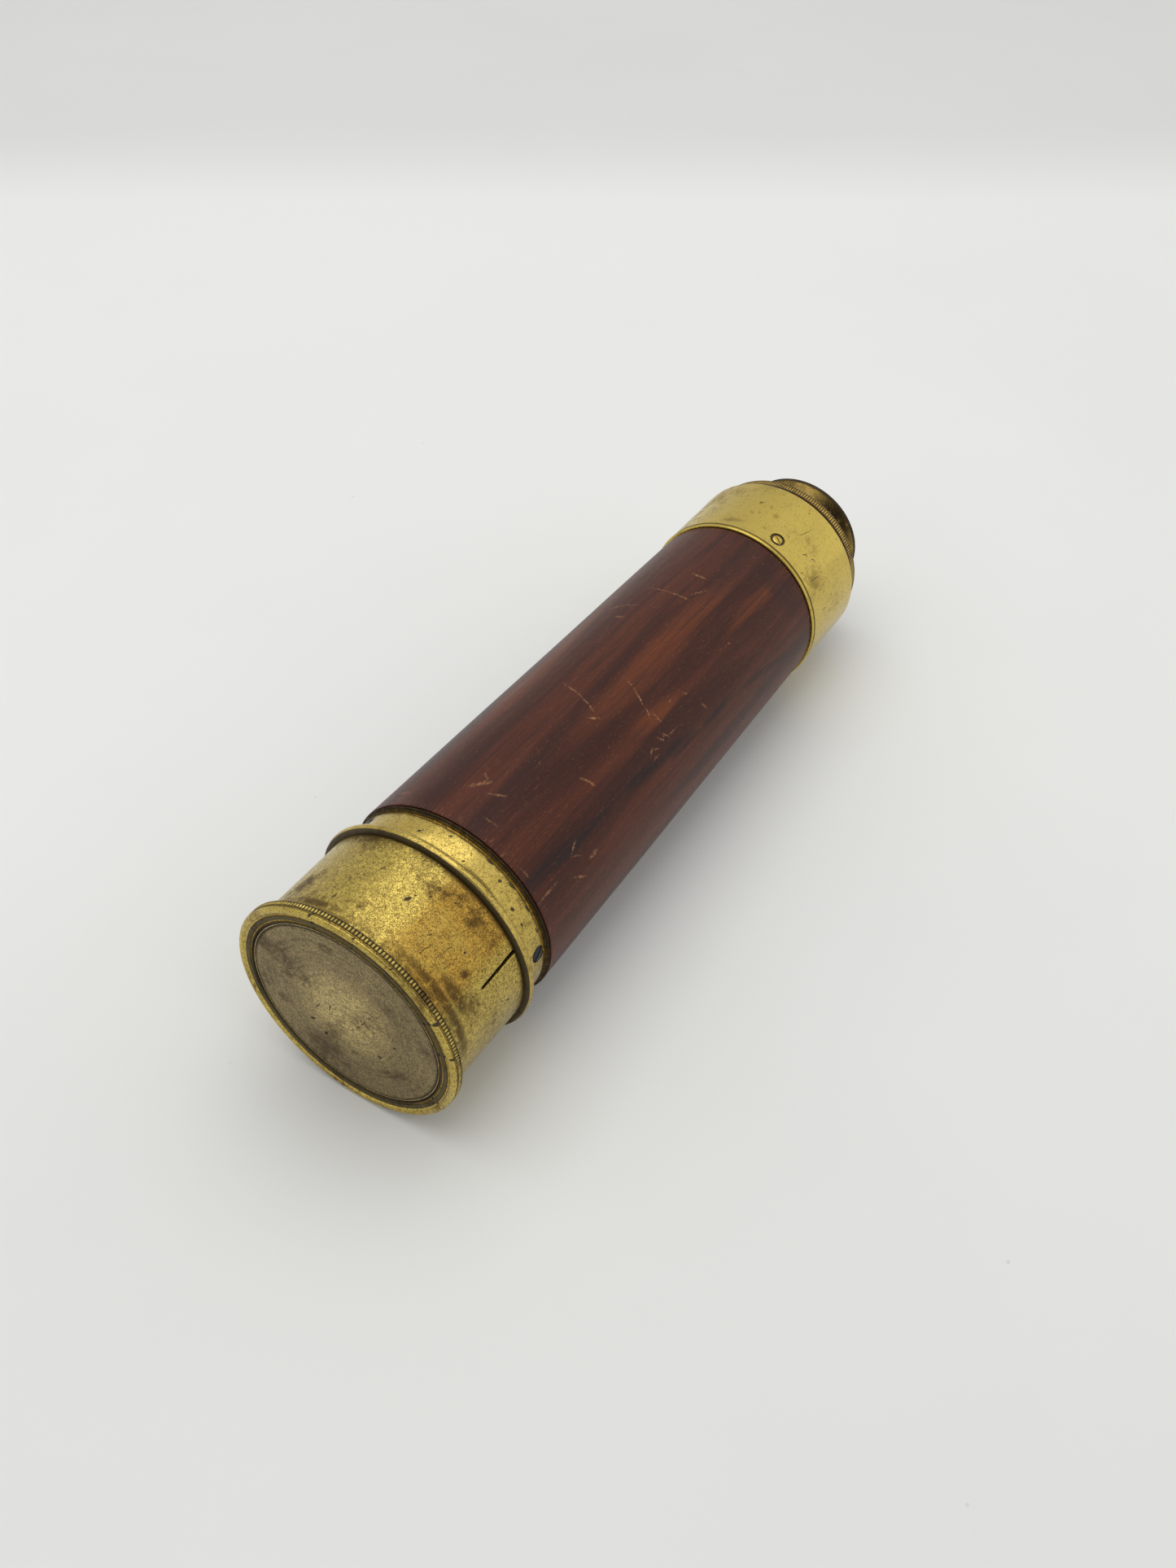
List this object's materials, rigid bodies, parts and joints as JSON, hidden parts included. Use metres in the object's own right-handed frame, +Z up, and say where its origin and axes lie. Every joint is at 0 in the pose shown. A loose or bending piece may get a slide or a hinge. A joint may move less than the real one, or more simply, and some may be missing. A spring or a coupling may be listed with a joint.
{
  "type": "hand telescope",
  "caption": "Closed draw telescope with a tapered hardwood barrel, brass objective cell, collars and ferrule, a slip-on brass dust cap and a swivelling eye shutter.",
  "frame": {"origin": "under the middle of the closed length, on the level of the lowest point of the cap rim, which is the surface the telescope lies on", "axes": "+X along the optical axis from the dust cap to the eye cup, +Z up, +Y completing a right-handed set"},
  "size_m": [0.1864, 0.052, 0.052],
  "materials": {
    "aged_brass": "aged turned brass with fine scratches, dark pits and brown patina",
    "tarnished_brass": "dull grey-brown tarnish with concentric turning marks",
    "polished_brass": "bright lacquered brass with small brown stains and dirt in the grooves",
    "draw_brass": "smooth drawn brass tube, lightly polished by sliding",
    "blacked_brass": "matt black lacquer inside the light path",
    "dark_steel": "blued steel worn dark, slotted heads",
    "rosewood": "french-polished red-brown hardwood, dark grain along the barrel, small pale knocks",
    "lens_glass": "clear polished optical glass"
  },
  "bodies": {
    "barrel": {"objective_cell": "polished_brass", "objective_crown_lens": "lens_glass", "objective_flint_lens": "lens_glass", "objective_retaining_ring": "blacked_brass", "objective_collar": "polished_brass", "collar_screw_1": "dark_steel", "collar_screw_2": "dark_steel", "collar_screw_3": "dark_steel", "wooden_barrel": "rosewood", "barrel_stop": "blacked_brass", "draw_ferrule": "polished_brass", "ferrule_screw_1": "polished_brass", "ferrule_screw_2": "polished_brass", "ferrule_screw_3": "polished_brass", "guide_collar_1": "aged_brass"},
    "dust_cap": {"cap_rim": "aged_brass", "cap_plate": "tarnished_brass", "cap_sleeve": "aged_brass"},
    "draw_1": {"draw_tube_1": "draw_brass", "draw_1_stop_ring": "blacked_brass", "guide_collar_2": "aged_brass"},
    "draw_2": {"draw_tube_2": "draw_brass", "draw_2_stop_ring": "blacked_brass", "guide_collar_3": "aged_brass"},
    "draw_3": {"draw_tube_3": "draw_brass", "draw_3_stop_ring": "blacked_brass", "erector_tube": "draw_brass", "erector_lens_front": "lens_glass", "erector_lens_rear": "lens_glass", "erector_ring_front": "blacked_brass", "erector_ring_rear": "blacked_brass", "erector_stop": "blacked_brass", "eyepiece_tube": "draw_brass", "field_lens": "lens_glass", "field_lens_ring": "blacked_brass", "field_stop": "blacked_brass", "eye_lens": "lens_glass", "eye_lens_ring": "blacked_brass", "eye_cup": "aged_brass", "shutter_screw": "dark_steel"},
    "shutter": {"eye_shutter": "aged_brass", "shutter_knob": "polished_brass"}
  },
  "joints": [
    {"name": "cap_slide", "type": "slide", "parent": "barrel", "child": "dust_cap", "axis": [-1, 0, 0], "range_m": [0, 0.03]},
    {"name": "draw_1_slide", "type": "slide", "parent": "barrel", "child": "draw_1", "axis": [1, 0, 0], "range_m": [0, 0.105]},
    {"name": "draw_2_slide", "type": "slide", "parent": "draw_1", "child": "draw_2", "axis": [1, 0, 0], "range_m": [0, 0.101]},
    {"name": "draw_3_slide", "type": "slide", "parent": "draw_2", "child": "draw_3", "axis": [1, 0, 0], "range_m": [0, 0.099]},
    {"name": "shutter_swing", "type": "hinge", "parent": "draw_3", "child": "shutter", "pos_m": [0.0916, 0, 0.0186], "axis": [1, 0, 0], "range_deg": [0, 65]}
  ]
}
